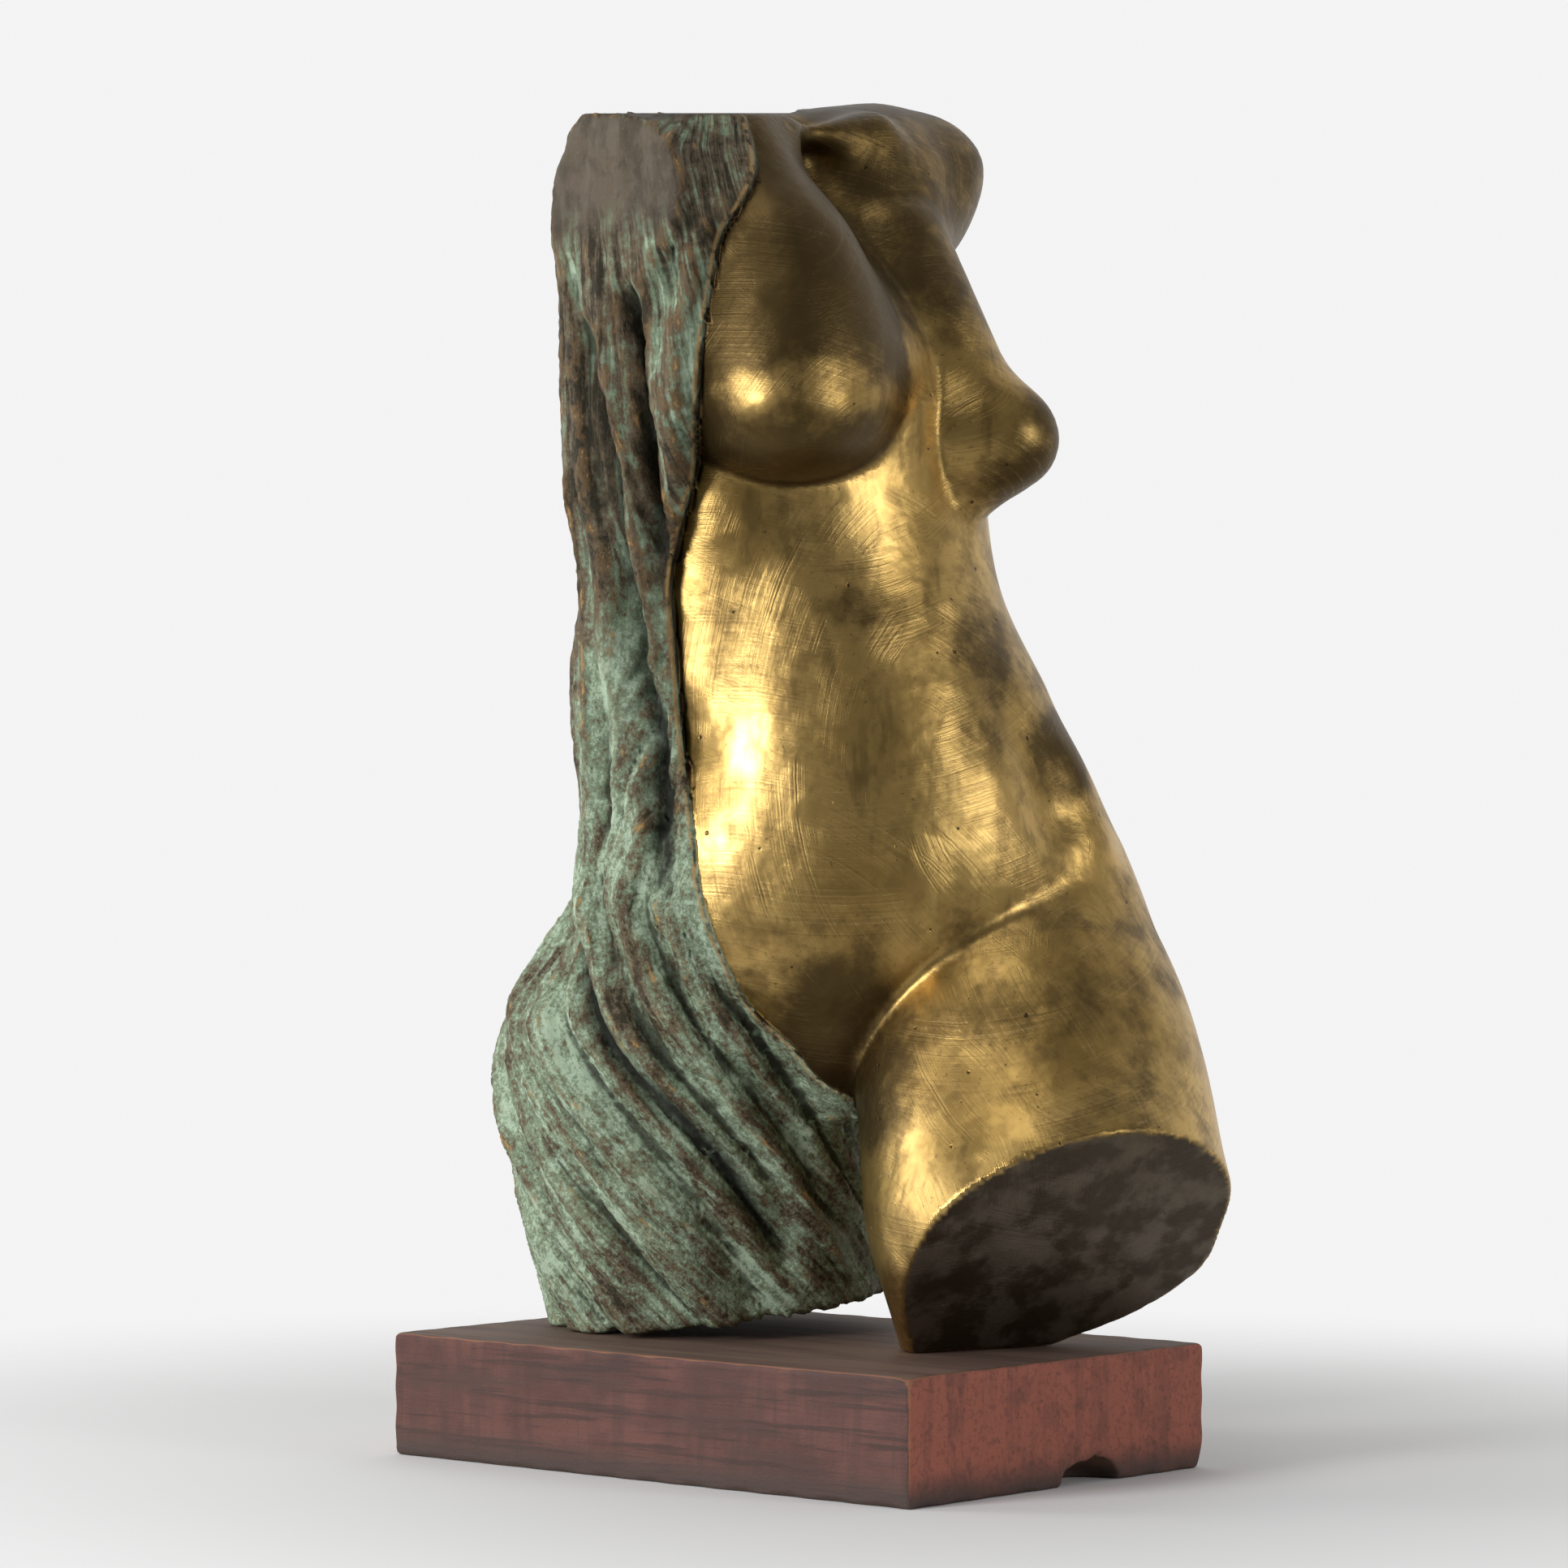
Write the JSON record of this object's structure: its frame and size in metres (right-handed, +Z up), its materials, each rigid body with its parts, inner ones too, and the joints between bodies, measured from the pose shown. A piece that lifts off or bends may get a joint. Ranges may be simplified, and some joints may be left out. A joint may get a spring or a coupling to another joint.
{
  "type": "bronze torso sculpture",
  "caption": "Cast bronze female torso, polished on one side and wrapped in a rough green-patinated drape on the other, standing on a worn, red-brown painted timber plinth.",
  "frame": {"origin": "centre of the plinth's underside", "axes": "+Z up, +Y along the plinth's length, +X along its depth; the short end with the bitten lower edge faces -Y"},
  "size_m": [0.3673, 0.4796, 0.8491],
  "materials": {
    "bronze": "polished golden brown bronze with brown tarnish; green patina on the drape",
    "painted_timber": "worn dark red-brown paint over coarse timber"
  },
  "bodies": {
    "root": {"bronze_torso": "bronze", "wooden_plinth": "painted_timber"}
  },
  "joints": []
}
